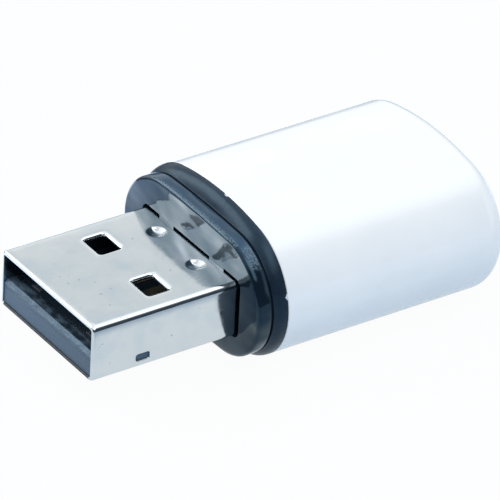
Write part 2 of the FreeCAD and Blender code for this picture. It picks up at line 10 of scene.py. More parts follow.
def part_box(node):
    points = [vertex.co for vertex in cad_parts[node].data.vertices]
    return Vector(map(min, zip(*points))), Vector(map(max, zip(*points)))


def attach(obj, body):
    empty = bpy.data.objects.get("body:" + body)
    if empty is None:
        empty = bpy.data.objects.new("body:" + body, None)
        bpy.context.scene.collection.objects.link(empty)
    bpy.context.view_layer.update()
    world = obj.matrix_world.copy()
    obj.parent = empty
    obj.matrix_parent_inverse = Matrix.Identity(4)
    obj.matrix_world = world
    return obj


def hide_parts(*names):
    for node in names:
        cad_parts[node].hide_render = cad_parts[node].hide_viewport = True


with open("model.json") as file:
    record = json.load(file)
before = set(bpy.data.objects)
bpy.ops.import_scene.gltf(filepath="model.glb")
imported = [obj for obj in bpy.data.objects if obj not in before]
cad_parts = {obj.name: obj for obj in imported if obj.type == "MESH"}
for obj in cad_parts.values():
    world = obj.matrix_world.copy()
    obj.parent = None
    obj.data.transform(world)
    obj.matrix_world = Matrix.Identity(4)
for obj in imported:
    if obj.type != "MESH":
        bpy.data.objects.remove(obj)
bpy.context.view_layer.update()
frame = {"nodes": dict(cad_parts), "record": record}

# Camera
# The photograph was taken from the front left and above, from so far away that it shows hardly any
# perspective. The camera looks at one point of the dongle's length, from this direction, and is turned a
# little about its own line.
mm = 0.001
image_size = 500
pixels_per_mm = 14.10
camera_azimuth = math.radians(-35.34)
camera_elevation = math.radians(32.04)
camera_roll = math.radians(2.99)
camera_distance = 500 * mm
aim_point = (0.25 * mm, -0.22 * mm, 5.56 * mm)
sensor_width = 36.0


def in_scene(name, data):
    """A new object of the scene, made from its data."""
    made = bpy.data.objects.new(name, data)
    bpy.context.scene.collection.objects.link(made)
    return made


camera_data = bpy.data.cameras.new("camera")
camera_data.sensor_width = sensor_width
camera_data.lens = sensor_width * camera_distance / (image_size / pixels_per_mm * mm)
camera_data.clip_start = camera_distance / 50
camera_data.clip_end = camera_distance * 50
camera = in_scene("camera", camera_data)
bpy.context.scene.camera = camera
camera.matrix_world = (
    Matrix.Translation(aim_point)
    @ Matrix.Rotation(camera_azimuth, 4, "Z")
    @ Matrix.Rotation(math.pi / 2 - camera_elevation, 4, "X")
    @ Matrix.Rotation(camera_roll, 4, "Z")
    @ Matrix.Translation((0.0, 0.0, camera_distance))
)


# Plug shell
# One strip of bright plated steel, folded into a flat tube whose edges meet in a seam on the underside.
# Windows and latch holes are punched through it with rolled rims, and two dents are pressed into its top to
# hold the insulator.
def box_of(name):
    """The low and the high corner of a CAD node's box."""
    return [np.array(corner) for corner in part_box(name)]


plug_low, plug_high = box_of("plug_shell")
plug_half_width = plug_high[1]
mouth_x = plug_low[0]
leg_rear_x = plug_high[0]
plug_height = 4.5 * mm
plug_bottom_z = plug_high[2] - plug_height
plug_axis_z = plug_high[2] - plug_height / 2
sheet = 0.3 * mm
shell_length = 18.75 * mm
bend_radius = 0.48 * mm
mouth_rounding = 0.2 * mm
inner_rounding = 0.06 * mm
window_from_mouth = 6.55 * mm
window_spread = 3.1 * mm
window_half = np.array((0.88, 1.13)) * mm
window_corner = 0.2 * mm
window_rim = 0.24 * mm
latch_from_mouth = 4.2 * mm
latch_height = 0.9 * mm
latch_half = np.array((0.58, 0.28)) * mm
latch_corner = 0.18 * mm
latch_rim = 0.05 * mm
dent_from_mouth = 10.7 * mm
dent_spread = 2.5 * mm
dent_radius = 0.7 * mm
dent_depth = 0.26 * mm
dent_softness = 0.03 * mm
dent_room = 0.85 * mm
seam_gap = 0.05 * mm
seam_key_starts = (4.4 * mm, 12.0 * mm)
seam_key_length = 1.8 * mm
seam_key_reach = 1.0 * mm
seam_key_flare = 0.3 * mm
seam_fade = 1.6 * mm
leg_prong_width = 1.0 * mm
leg_prong_proud = 0.4 * mm
leg_arm_height = 1.1 * mm
leg_board_gap = 0.2 * mm
coarse_step = 0.4 * mm
bend_step = 0.08 * mm
dent_step = 0.05 * mm
rim_step = 0.09 * mm
seam_row_gap = 0.1 * mm
lip_steps = 6
rim_rings = 5
sharp_angle = math.radians(30)
merge_distance = 0.0001 * mm
mark_decimals = 9
whole_step_slack = 0.001
shade_from_mouth = 0.25 * mm
shade_below_face = 0.8 * sheet
top_bow_power = 3.0
top_bow_fall = 6.0
board_low, board_high = box_of("circuit_board")


def stations(marks, fine, coarse_step):
    """Sorted places with every mark among them, a coarse step apart at most, and finer in some ranges."""
    marks = np.unique(np.round(marks, mark_decimals))
    runs = [marks[:1]]
    for start, end in zip(marks, marks[1:]):
        steps = [step for low, high, step in fine if low < (start + end) / 2 < high]
        count = math.ceil((end - start) / min(steps + [coarse_step]) - whole_step_slack)
        runs.append(np.linspace(start, end, max(count, 1) + 1)[1:])
    return np.concatenate(runs)


def rounded_to(offset, half, corner):
    """Moves points of a rectangle's border, given from its centre, to that of another with rounded corners.

    The points are scaled to the new half sizes and held inside what the corner radius leaves of them. The
    result lies one corner radius from there, in the direction of the scaled point.
    """
    scaled = offset * half / np.abs(offset).max(axis=0)
    core = np.clip(scaled, corner - half, half - corner)
    reach = np.linalg.norm(scaled - core, axis=1, keepdims=True)
    return core + corner * (scaled - core) / reach


def border(rows, columns):
    """Row and column numbers once round the border of a block of a grid."""
    row = np.concatenate([np.full(len(columns), rows[0]), rows[1:], np.full(len(columns) - 1, rows[-1]),
                          rows[-2:0:-1]])
    column = np.concatenate([columns, np.full(len(rows) - 1, columns[-1]), columns[-2::-1],
                             np.full(len(rows) - 2, columns[0])])
    return row, column


def ring_faces(first, second):
    """Quads between two closed loops of as many vertex numbers."""
    return np.stack([first, np.roll(first, -1), np.roll(second, -1), second], axis=-1)


def strip_faces(first, second):
    """Quads between two open lines of as many vertex numbers."""
    return np.stack([first[:-1], first[1:], second[1:], second[:-1]], axis=-1)


def block(low, high):
    """The eight points and six faces of a rectangular block between two corners."""
    pick = np.array([(i, j, k) for i in (0, 1) for j in (0, 1) for k in (0, 1)])
    points = np.where(pick == 0, np.array(low), np.array(high))
    faces = [(0, 1, 3, 2), (4, 6, 7, 5), (0, 4, 5, 1), (2, 3, 7, 6), (0, 2, 6, 4), (1, 5, 7, 3)]
    return points, faces


def new_piece(name, replaced, parts):
    """A piece made of parts of (points, faces), with its faces outwards and smooth but for sharp edges."""
    faces = []
    first = 0
    for points, corners in parts:
        faces += [[number + first for number in face] for face in corners]
        first += len(points)
    mesh = bpy.data.meshes.new(name)
    mesh.from_pydata(np.concatenate([points for points, _ in parts]), [], faces)
    work = bmesh.new()
    work.from_mesh(mesh)
    bmesh.ops.remove_doubles(work, verts=work.verts, dist=merge_distance)
    bmesh.ops.recalc_face_normals(work, faces=work.faces)
    work.to_mesh(mesh)
    work.free()
    mesh.shade_smooth()
    mesh.set_sharp_from_angle(angle=sharp_angle)
    piece = in_scene(name, mesh)
    flat_faces = piece.modifiers.new("flat_faces", "WEIGHTED_NORMAL")
    flat_faces.keep_sharp = True
    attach(piece, "root")
    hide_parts(*replaced)
    return piece


# Places round the sheet, measured from the seam towards the near side, over the top and back to the seam
flat_half = plug_half_width - bend_radius
side_half = plug_height / 2 - bend_radius
bend_length = bend_radius * math.pi / 2
fold_lengths = np.array([flat_half, bend_length, 2 * side_half, bend_length, 2 * flat_half])
fold_ends = np.concatenate([[0.0], np.cumsum(np.concatenate([fold_lengths, fold_lengths[3::-1]]))])
seam_end = fold_ends[-1]
top_middle = seam_end / 2


def wrap(flat):
    """Folds points of the flat sheet, (place along, place round, depth below its face), into the tube.

    On a flat the centre of curvature moves and the normal stands still. In a bend the normal turns by a
    right angle about a centre that stands still. A point lies the bend radius less its depth from there.
    """
    ends = fold_ends.copy()
    ends[[0, -1]] += np.array([-seam_fade, seam_fade])
    turn = np.radians([-90, -90, -180, -180, -270, -270, -360, -360, -450, -450])
    centre_y = np.array([seam_fade] + [-flat_half] * 4 + [flat_half] * 4 + [-seam_fade])
    centre_z = np.array([-side_half] * 3 + [side_half] * 4 + [-side_half] * 3)
    angle = np.interp(flat[:, 1], ends, turn)
    radius = bend_radius - flat[:, 2]
    y = np.interp(flat[:, 1], ends, centre_y) + radius * np.cos(angle)
    z = np.interp(flat[:, 1], ends, centre_z) + radius * np.sin(angle)
    return np.stack([mouth_x + flat[:, 0], y, plug_axis_z + z], axis=1)


def seam_line(side):
    """Where one side of the seam runs: places of the grid's rows, and how far each is moved (along, across).

    The seam's middle line steps round the dovetail keys. Its side lies half the gap from it, with mitred
    corners. Rows beside a key's corners are pulled to where those corners lie.
    """
    pull = (seam_key_flare + seam_row_gap) / 2
    rows, path = [0.0], [(0.0, 0.0)]
    for start in seam_key_starts:
        end = start + seam_key_length
        fades = (start - pull - seam_fade / 2, end + pull + seam_fade / 2)
        rows += [fades[0], start - pull, start - pull + seam_row_gap,
                 end + pull - seam_row_gap, end + pull, fades[1]]
        path += [(fades[0], 0.0), (start, 0.0), (start - seam_key_flare, seam_key_reach),
                 (end + seam_key_flare, seam_key_reach), (end, 0.0), (fades[1], 0.0)]
    rows.append(shell_length)
    path = np.array(path + [(shell_length, 0.0)])
    heading = np.diff(path, axis=0)
    heading /= np.linalg.norm(heading, axis=1, keepdims=True)
    normal = np.stack([-heading[:, 1], heading[:, 0]], axis=1)
    before = np.concatenate([normal[:1], normal])
    after = np.concatenate([normal, normal[-1:]])
    mitre = (before + after) / (1 + (before * after).sum(axis=1, keepdims=True))
    moved = path + side * seam_gap / 2 * mitre
    moved[:, 0] -= rows
    return np.array(rows), moved


def pressed(distance, ball_radius):
    """A dent's depth at a distance from its middle: the cap of the ball that pressed it, with a soft rim."""
    cap = np.sqrt(np.maximum(ball_radius ** 2 - distance ** 2, 0.0)) - ball_radius + dent_depth
    return (cap + np.hypot(cap, dent_softness)) / 2


def refine(marks, fine, middle, reach, step):
    """Adds both ends of a stretch to the marks, and the stretch to those with a finer step."""
    marks += [middle - reach, middle + reach]
    fine.append((middle - reach, middle + reach, step))


def folded_shell():
    """The whole shell as one grid of rows along the length and columns round the sheet.

    The rows run forwards over the outside, round the lip of the mouth and back along the inside. The grid is
    made flat, shifted at the seam and pressed at the dents, and then wrapped. A hole takes away the faces
    inside its border, and rings of new points carry its rolled rim through the sheet.
    """
    window_rounds = (top_middle - window_spread, top_middle + window_spread, window_spread,
                     seam_end - window_spread)
    holes = [(window_from_mouth, place, window_half, window_corner, window_rim) for place in window_rounds]
    latch_round = fold_ends[2] + latch_height - bend_radius
    holes += [(latch_from_mouth, place, latch_half, latch_corner, latch_rim)
              for place in (latch_round, seam_end - latch_round)]
    row_marks = [mouth_rounding, shell_length, *seam_line(1)[0][1:-1]]
    row_fine = []
    column_marks = [0.0, *fold_ends[1:-1], seam_end]
    column_fine = [(low, high, bend_step) for low, high in zip(fold_ends[1:-1:2], fold_ends[2:-1:2])]
    refine(row_marks, row_fine, dent_from_mouth, dent_room, dent_step)
    for side in (-1, 1):
        refine(column_marks, column_fine, top_middle + side * dent_spread, dent_room, dent_step)
    for along, around, half, _, rim in holes:
        refine(row_marks, row_fine, along, half[0] + rim, rim_step)
        refine(column_marks, column_fine, around, half[1] + rim, rim_step)
    places = stations(row_marks, row_fine, coarse_step)
    rounds = stations(column_marks, column_fine, coarse_step)

    outer_turn = np.linspace(0, math.pi / 2, lip_steps + 1)[1:]
    inner_turn = np.linspace(0, math.pi / 2, lip_steps + 1)
    lip_place = np.concatenate([mouth_rounding * (1 - np.sin(outer_turn)),
                                inner_rounding * (1 - np.cos(inner_turn))])
    lip_depth = np.concatenate([mouth_rounding * (1 - np.cos(outer_turn)),
                                sheet - inner_rounding * (1 - np.sin(inner_turn))])
    row_place = np.concatenate([places[::-1], lip_place, places])
    row_depth = np.concatenate([np.zeros(len(places)), lip_depth, np.full(len(places), sheet)])
    outer_row = np.arange(len(places))[::-1]
    inner_row = np.arange(len(places)) + len(places) + len(lip_place)

    flat = np.empty((len(row_place), len(rounds), 3))
    flat[:, :, 0] = row_place[:, None]
    flat[:, :, 1] = rounds
    flat[:, :, 2] = row_depth[:, None]
    for side in (-1, 1):
        away = np.hypot(flat[:, :, 0] - dent_from_mouth, flat[:, :, 1] - top_middle - side * dent_spread)
        ball = (dent_radius ** 2 + dent_depth ** 2) / (2 * dent_depth) + flat[:, :, 2]
        flat[:, :, 2] += np.where(away < 2 * dent_room, pressed(away, ball), 0.0)
    for side, from_seam in ((-1, rounds), (1, seam_end - rounds)):
        fade = np.clip(1 - from_seam / seam_fade, 0, 1)
        rows, moved = seam_line(side)
        flat[:, :, 0] += np.interp(row_place, rows, moved[:, 0])[:, None] * fade
        flat[:, :, 1] -= np.interp(row_place, rows, moved[:, 1])[:, None] * fade

    number = np.arange(flat.shape[0] * flat.shape[1]).reshape(flat.shape[:2])
    kept = np.ones((flat.shape[0] - 1, flat.shape[1] - 1), bool)
    extra = []
    faces = []
    count = number.size
    for along, around, half, corner, rim in holes:
        centre = np.array([along, around])
        reach = half + rim + rim_step / 10
        inside_rows = np.flatnonzero(np.abs(places - along) < reach[0])
        inside_columns = np.flatnonzero(np.abs(rounds - around) < reach[1])
        place_number, column = border(inside_rows, inside_columns)
        offset = np.stack([places[place_number], rounds[column]], axis=1) - centre
        flat[outer_row[place_number], column, :2] = centre + rounded_to(offset, half + rim, corner + rim)
        flat[inner_row[place_number], column, :2] = centre + rounded_to(offset, half, corner)
        across = slice(inside_columns[0], inside_columns[-1])
        kept[outer_row[inside_rows[-1]]:outer_row[inside_rows[0]], across] = False
        kept[inner_row[inside_rows[0]]:inner_row[inside_rows[-1]], across] = False
        loop = number[outer_row[place_number], column]
        for turn in np.linspace(0, math.pi / 2, rim_rings + 1)[1:]:
            grown = rim * (1 - math.sin(turn))
            ring = np.empty((len(column), 3))
            ring[:, :2] = centre + rounded_to(offset, half + grown, corner + grown)
            ring[:, 2] = rim * (1 - math.cos(turn))
            extra.append(ring)
            next_loop = np.arange(count, count + len(column))
            faces.append(ring_faces(loop, next_loop))
            count += len(column)
            loop = next_loop
        faces.append(ring_faces(loop, number[inner_row[place_number], column]))
    quads = np.stack([number[:-1, :-1], number[1:, :-1], number[1:, 1:], number[:-1, 1:]], axis=-1)
    faces.append(quads[kept])
    faces.append(strip_faces(number[0], number[-1]))
    corners = np.concatenate(faces).tolist()
    for edge in (0, -1):
        corners += strip_faces(number[outer_row, edge], number[inner_row, edge]).tolist()
        corners.append(number[outer_row[0]:inner_row[0] + 1, edge].tolist())
    return wrap(np.concatenate([flat.reshape(-1, 3), *extra])), corners


def solder_legs():
    """Two legs, each an arm that carries on from the shell's side and a prong that stands in the board."""
    arm_bottom_z = board_high[2] + leg_board_gap
    arm_top_z = arm_bottom_z + leg_arm_height
    rear_x = mouth_x + shell_length
    prong_x = leg_rear_x - leg_prong_width
    tip_z = board_low[2] - leg_prong_proud
    outline = np.array([
        (rear_x, arm_bottom_z), (prong_x, arm_bottom_z), (prong_x, tip_z), (leg_rear_x, tip_z),
        (leg_rear_x, arm_bottom_z), (leg_rear_x, arm_top_z), (rear_x, arm_top_z)])
    count = len(outline)
    near = np.arange(count)
    faces = ring_faces(near, near + count).tolist()
    faces += [[0, 1, 4, 5, 6], [1, 2, 3, 4]]
    faces += [[number + count for number in face] for face in faces[-2:]]
    parts = []
    for side in (-1, 1):
        walls = [np.insert(outline, 1, side * y, axis=1) for y in (plug_half_width, plug_half_width - sheet)]
        parts.append((np.concatenate(walls), faces))
    return parts


plug_shell = new_piece("plug_shell_folded", ["plug_shell"], [folded_shell(), *solder_legs()])


def bare_tree(owner):
    """The emptied node tree of a material or a world."""
    owner.use_nodes = True
    owner.node_tree.nodes.clear()
    return owner.node_tree


def add_node(tree, kind, inputs=(), **settings):
    """Adds a shader node with its own settings, and feeds each input a value or another node's output."""
    made = tree.nodes.new("ShaderNode" + kind)
    for key, value in settings.items():
        setattr(made, key, value)
    for key, value in dict(inputs).items():
        if isinstance(value, bpy.types.NodeSocket):
            tree.links.new(value, made.inputs[key])
        else:
            made.inputs[key].default_value = value
    return made


def calculated(tree, operation, *values):
    """The number that one calculation makes of others."""
    return add_node(tree, "Math", dict(enumerate(values)), operation=operation).outputs["Value"]


def vector(tree, operation, *values):
    """The vector that one calculation makes of others."""
    return add_node(tree, "VectorMath", dict(enumerate(values)), operation=operation).outputs["Vector"]


def axes_of(tree, place):
    """The X, Y and Z of a place or a direction."""
    return add_node(tree, "SeparateXYZ", {0: place}).outputs


def own_place(tree):
    """Where a point lies on its piece."""
    return add_node(tree, "TexCoord").outputs["Object"]


def share_between(tree, value, start, end):
    """How far a value has come from a start to an end: 0 up to the start, and 1 from the end on."""
    return add_node(tree, "MapRange", {"Value": value, "From Min": start, "From Max": end}).outputs["Result"]


def ramp(tree, factor, stops):
    """The colour or value that belongs to a factor, between stops of (place, value or colour)."""
    made = add_node(tree, "ValToRGB", {"Fac": factor})
    elements = made.color_ramp.elements
    while len(elements) < len(stops):
        elements.new(0.5)
    for element, (place, value) in zip(elements, stops):
        element.position = place
        element.color = (value, value, value, 1) if isinstance(value, float) else (*value, 1)
    return made.outputs["Color"]


def mixed(tree, mask, first, second):
    """The first colour where the mask is 0, the second where it is 1."""
    first, second = ((*colour, 1) if isinstance(colour, tuple) else colour for colour in (first, second))
    return add_node(tree, "Mix", {0: mask, 6: first, 7: second}, data_type="RGBA").outputs[2]


def effect_group(name, inputs, outputs):
    """An empty node group with named inputs (with their usual values) and outputs, and its two end nodes."""
    tree = bpy.data.node_groups.new(name, "ShaderNodeTree")
    kinds = {float: "NodeSocketFloat", tuple: "NodeSocketVector"}
    for key, value in inputs.items():
        socket = tree.interface.new_socket(key, in_out="INPUT", socket_type=kinds[type(value)])
        socket.default_value = value
    for key in outputs:
        kind = "NodeSocketVector" if key == "Normal" else "NodeSocketFloat"
        tree.interface.new_socket(key, in_out="OUTPUT", socket_type=kind)
    return tree, tree.nodes.new("NodeGroupInput").outputs, tree.nodes.new("NodeGroupOutput")


def grain_group():
    """Grain or scratches as a mask and a normal: noise on the piece's own place, drawn out along an axis."""
    tree, given, result = effect_group(
        "surface_grain", {"Stretch": (1.0, 1.0, 1.0), "Scale": 1000.0, "Detail": 3.0, "Depth": 0.01 * mm},
        ("Mask", "Normal"))
    drawn = vector(tree, "MULTIPLY", own_place(tree), given["Stretch"])
    noise = add_node(tree, "TexNoise", {"Vector": drawn, "Scale": given["Scale"], "Detail": given["Detail"]})
    mask = noise.outputs["Fac"]
    bump = add_node(tree, "Bump", {"Height": mask, "Distance": given["Depth"]})
    tree.links.new(mask, result.inputs["Mask"])
    tree.links.new(bump.outputs["Normal"], result.inputs["Normal"])
    return tree


def region_group():
    """A mask that is 1 inside a box of the piece, and falls to 0 over a margin round that box."""
    tree, given, result = effect_group(
        "region", {"Low": (0.0, 0.0, 0.0), "High": (0.0, 0.0, 0.0), "Margin": 0.1 * mm}, ("Mask",))
    place = own_place(tree)
    below = vector(tree, "SUBTRACT", given["Low"], place)
    above = vector(tree, "SUBTRACT", place, given["High"])
    outside = vector(tree, "MAXIMUM", vector(tree, "MAXIMUM", below, above), (0.0, 0.0, 0.0))
    away = add_node(tree, "VectorMath", {0: outside}, operation="LENGTH").outputs["Value"]
    faded = calculated(tree, "SUBTRACT", 1.0, share_between(tree, away, 0.0, given["Margin"]))
    tree.links.new(faded, result.inputs["Mask"])
    return tree


def both(tree, first, second):
    """A mask that holds only where two masks do."""
    return calculated(tree, "MULTIPLY", first, second)


def either(tree, first, second):
    """A mask that holds wherever one of two masks does: the larger of them."""
    return calculated(tree, "MAXIMUM", first, second)


surface_grain = grain_group()
region = region_group()


def placed(tree, group, inputs=()):
    """One of the shared effects, placed in a material with values of its own."""
    return add_node(tree, "Group", inputs, node_tree=group).outputs


def graded(tree, effect, low, high):
    """A value or colour that follows an effect's mask: the low one up to 0.3, the high one from 0.7 on."""
    return ramp(tree, effect["Mask"], [(0.3, low), (0.7, high)])


def joined_normal(tree, first, first_depth, second, second_depth):
    """One bump on top of another: broad waves of a first mask, and the fine grain of a second."""
    waves = add_node(tree, "Bump", {"Height": first, "Distance": first_depth}).outputs["Normal"]
    fine = add_node(tree, "Bump", {"Height": second, "Distance": second_depth, "Normal": waves})
    return fine.outputs["Normal"]


def new_material(name, **sockets):
    """A material with one Principled shader, whose constant values are set on its own sockets."""
    material = bpy.data.materials.new(name)
    tree = bare_tree(material)
    constants = {key.replace("_", " "): value for key, value in sockets.items()}
    shader = add_node(tree, "BsdfPrincipled", constants)
    add_node(tree, "OutputMaterial", {"Surface": shader.outputs["BSDF"]})
    return material, tree, shader.inputs


def finish(tree, surface, colour, roughness, normal):
    """Feeds a shader its colour, its roughness and its normal."""
    for key, value in (("Base Color", colour), ("Roughness", roughness), ("Normal", normal)):
        tree.links.new(value, surface[key])


def dress(piece, material):
    """Gives a piece or a CAD node one material all over."""
    piece.data.materials.clear()
    piece.data.materials.append(material)


steel, tree, surface = new_material("plated_steel", Metallic=1.0)
patches = placed(tree, surface_grain, {"Scale": 420.0, "Detail": 2.0})
scratches = placed(tree, surface_grain, {"Stretch": (0.12, 1.0, 1.0), "Scale": 9000.0})
specks = placed(tree, surface_grain, {"Scale": 2600.0, "Detail": 1.0})
# Painted shade: the front edge of the bottom sheet at the mouth is dark and rough
lip_painted_shade = placed(tree, region, {
    "Low": (mouth_x - mouth_rounding, bend_radius - plug_half_width, plug_bottom_z + sheet / 3),
    "High": (mouth_x + mouth_rounding, plug_half_width - bend_radius, plug_bottom_z + sheet),
    "Margin": sheet / 3})["Mask"]
# Painted shade: the steel inside the tube, from just behind the mouth, is darker than outside
inside = placed(tree, region, {
    "Low": (mouth_x + shade_from_mouth, shade_below_face - plug_half_width, plug_bottom_z + shade_below_face),
    "High": (mouth_x + shell_length, plug_half_width - shade_below_face, plug_high[2] - shade_below_face),
    "Margin": sheet / 10})["Mask"]
plating = ramp(tree, patches["Mask"], [(0.3, (0.665, 0.72, 0.76)), (0.5, (0.735, 0.765, 0.78)),
                                       (0.7, (0.765, 0.79, 0.80))])
plating = mixed(tree, ramp(tree, specks["Mask"], [(0.75, 0.0), (0.80, 1.0)]), plating, (0.48, 0.51, 0.53))
plating = mixed(tree, inside, plating, (0.42, 0.47, 0.51))
polish = ramp(tree, scratches["Mask"], [(0.3, 0.07), (0.75, 0.17)])

# The top bows down towards its far edge, by the third power of a point's way from the middle to that edge
bowed = share_between(tree, axes_of(tree, own_place(tree))["Y"], 0.0, plug_half_width)
bowed = calculated(tree, "POWER", bowed, top_bow_power)
fallen = calculated(tree, "MULTIPLY_ADD", bowed, -top_bow_fall, patches["Mask"])
finish(tree, surface, mixed(tree, lip_painted_shade, plating, (0.07, 0.08, 0.085)),
       mixed(tree, lip_painted_shade, polish, (0.5, 0.5, 0.5)),
       joined_normal(tree, fallen, 0.02 * mm, scratches["Mask"], 0.0006 * mm))
dress(plug_shell, steel)


# Insulator
# The black moulded tongue in the plug's mouth and the block behind it, of one piece. It is pushed in from
# behind and held by nubs in the latch holes. Its satin skin has the fine grain of glass-filled plastic.
insulator_front_x = box_of("plug_insulator")[0][0]
tongue_height = 1.84 * mm
tongue_top_z = plug_bottom_z + sheet + tongue_height
scuffs_back = 0.9 * mm
scuffs_down = 0.35 * mm
scuffs_proud = 0.1 * mm


def upward(tree):
    """How far a face looks up: 1 on one that lies flat, 0 on an upright one, and below 0 underneath."""
    return axes_of(tree, add_node(tree, "NewGeometry").outputs["Normal"])["Z"]


insulator_plastic, tree, surface = new_material(
    "insulator_plastic", IOR=1.5, Specular_Tint=(0.55, 0.78, 1.0, 1.0))
grain = placed(tree, surface_grain, {"Scale": 7000.0, "Detail": 4.0})
scuffs = placed(tree, surface_grain, {"Stretch": (1.0, 0.5, 1.0), "Scale": 1800.0, "Detail": 3.0})
edge = placed(tree, region, {
    "Low": (insulator_front_x - scuffs_proud, -plug_half_width, tongue_top_z - scuffs_down),
    "High": (insulator_front_x + scuffs_back, plug_half_width, tongue_top_z + scuffs_proud),
    "Margin": 0.25 * mm})["Mask"]
scuffed = both(tree, edge, ramp(tree, scuffs["Mask"], [(0.42, 0.0), (0.62, 1.0)]))
moulded = graded(tree, grain, (0.047, 0.076, 0.110), (0.078, 0.115, 0.158))
# Painted shade: faces that look up, such as the tongue's top under the shell, are darker
moulded = mixed(tree, ramp(tree, upward(tree), [(0.6, 0.0), (0.95, 1.0)]), moulded, (0.020, 0.033, 0.048))
finish(tree, surface, mixed(tree, scuffed, moulded, (0.09, 0.135, 0.18)), graded(tree, grain, 0.30, 0.42),
       joined_normal(tree, both(tree, edge, scuffs["Mask"]), 0.16 * mm, grain["Mask"], 0.003 * mm))
dress(frame["nodes"]["plug_insulator"], insulator_plastic)


# Contacts
# Four stamped strips of gold-plated bronze that lie in channels of the tongue. The outer two carry the power
# and start nearer to the mouth than the inner two, which carry the data. Sockets have worn them. The part
# that shows in the mouth gets painted shade: dark, dull and not metal.
shade_length = 7.6 * mm
shade_fade = 2.0 * mm
contact_gold, tree, surface = new_material("contact_gold", Metallic=1.0)
wear = placed(tree, surface_grain, {"Stretch": (0.1, 1.0, 1.0), "Scale": 6000.0, "Depth": 0.001 * mm})
gilt = graded(tree, wear, (0.46, 0.37, 0.20), (0.60, 0.48, 0.27))
# Painted shade: dark and dull from the mouth back past the windows, fading out behind
mouth_painted_shade = placed(tree, region, {
    "Low": (mouth_x, -plug_half_width, plug_low[2]),
    "High": (mouth_x + shade_length, plug_half_width, plug_high[2]), "Margin": shade_fade})["Mask"]
tree.links.new(ramp(tree, mouth_painted_shade, [(0.0, 1.0), (1.0, 0.0)]), surface["Metallic"])
finish(tree, surface, mixed(tree, mouth_painted_shade, gilt, (0.045, 0.058, 0.072)),
       mixed(tree, mouth_painted_shade, graded(tree, wear, 0.34, 0.5), (0.75, 0.75, 0.75)), wear["Normal"])
for name in ("contact_vbus", "contact_data_minus", "contact_data_plus", "contact_ground"):
    dress(frame["nodes"][name], contact_gold)


# Circuit board
# A board of woven glass and resin under green lacquer. Its nose enters the rear of the plug, and its edges
# lie in the rails of the sleeve. The lacquer stops at the cut edges, where the yellowish resin shows.
board_lacquer, tree, surface = new_material("board_lacquer", IOR=1.5)
traces = add_node(tree, "TexBrick", {
    "Vector": own_place(tree), "Scale": 1.0, "Brick Width": 2.6 * mm, "Row Height": 0.9 * mm,
    "Mortar Size": 0.08 * mm, "Mortar Smooth": 0.2})
lacquer = mixed(tree, traces.outputs["Fac"], (0.012, 0.13, 0.055), (0.03, 0.25, 0.11))
lacquered = ramp(tree, calculated(tree, "ABSOLUTE", upward(tree)), [(0.4, 0.0), (0.6, 1.0)])
weave = placed(tree, surface_grain, {"Stretch": (1.0, 0.4, 1.0), "Scale": 3000.0, "Depth": 0.005 * mm})
finish(tree, surface, mixed(tree, lacquered, (0.42, 0.36, 0.17), lacquer), graded(tree, weave, 0.22, 0.38),
       weave["Normal"])
dress(frame["nodes"]["circuit_board"], board_lacquer)


# Chips
# Four black moulded chips with tinned feet: the radio, its memory, the regulator and the surge protector.
# Feet and bent leads are what lies outside the body's own block, so a mask by place gives them their metal.
def beyond_body_group():
    """A mask that is 1 wherever a place lies further than the reach from the middle along any axis."""
    tree, given, result = effect_group(
        "beyond_the_body", {"Middle": (0.0, 0.0, 0.0), "Reach": (1.0, 1.0, 1.0)}, ("Mask",))
    size = vector(tree, "ABSOLUTE", vector(tree, "SUBTRACT", own_place(tree), given["Middle"]))
    share = axes_of(tree, vector(tree, "DIVIDE", size, given["Reach"]))
    largest = either(tree, either(tree, share["X"], share["Y"]), share["Z"])
    tree.links.new(calculated(tree, "GREATER_THAN", largest, 1.0), result.inputs["Mask"])
    return tree


beyond_body = beyond_body_group()
grain_shade = 0.8
grain_polish = 0.08
metal_roughness = (0.25, 0.25, 0.25)


def part_material(name, across, tall, body_colour, body_roughness, metal_colour):
    """The finish of one part on the board: its body, and metal everywhere outside the body's own block.

    The block reaches over a share of the half length and half width, and between two shares of the height.
    """
    low, high = box_of(name)
    middle = (low + high) / 2
    middle[2] = low[2] + (high[2] - low[2]) * sum(tall) / 2
    reach = (high - low) / 2 * np.array([*across, tall[1] - tall[0]])
    material, tree, surface = new_material(name + "_finish", IOR=1.5)
    metal = placed(tree, beyond_body, {"Middle": middle, "Reach": reach})["Mask"]
    grain = placed(tree, surface_grain, {"Scale": 5000.0, "Depth": 0.004 * mm})
    body = graded(tree, grain, tuple(grain_shade * share for share in body_colour), body_colour)
    rough = graded(tree, grain, body_roughness - grain_polish, body_roughness)
    tree.links.new(metal, surface["Metallic"])
    finish(tree, surface, mixed(tree, metal, body, metal_colour),
           mixed(tree, metal, rough, metal_roughness), grain["Normal"])
    dress(frame["nodes"][name], material)


whole = 1.01
tin = (0.72, 0.72, 0.70)
chip_resin = (0.035, 0.035, 0.038)
for name, long, foot, roughness in (
        ("radio_chip", whole, 0.06, 0.5), ("flash_chip", whole, 0.085, 0.5),
        ("voltage_regulator", 0.645, 0.115, 0.55), ("surge_protector", 0.475, 0.21, 0.55)):
    part_material(name, (long, whole), (foot, whole), chip_resin, roughness, tin)


# Crystal
# The clock's quartz crystal, in a pale ceramic tray under a plated metal lid with cut corners.
part_foot = 1 - whole
tray_share = 0.5
part_material("crystal", (whole, whole), (part_foot, tray_share), (0.80, 0.77, 0.70), 0.5, (0.78, 0.76, 0.70))


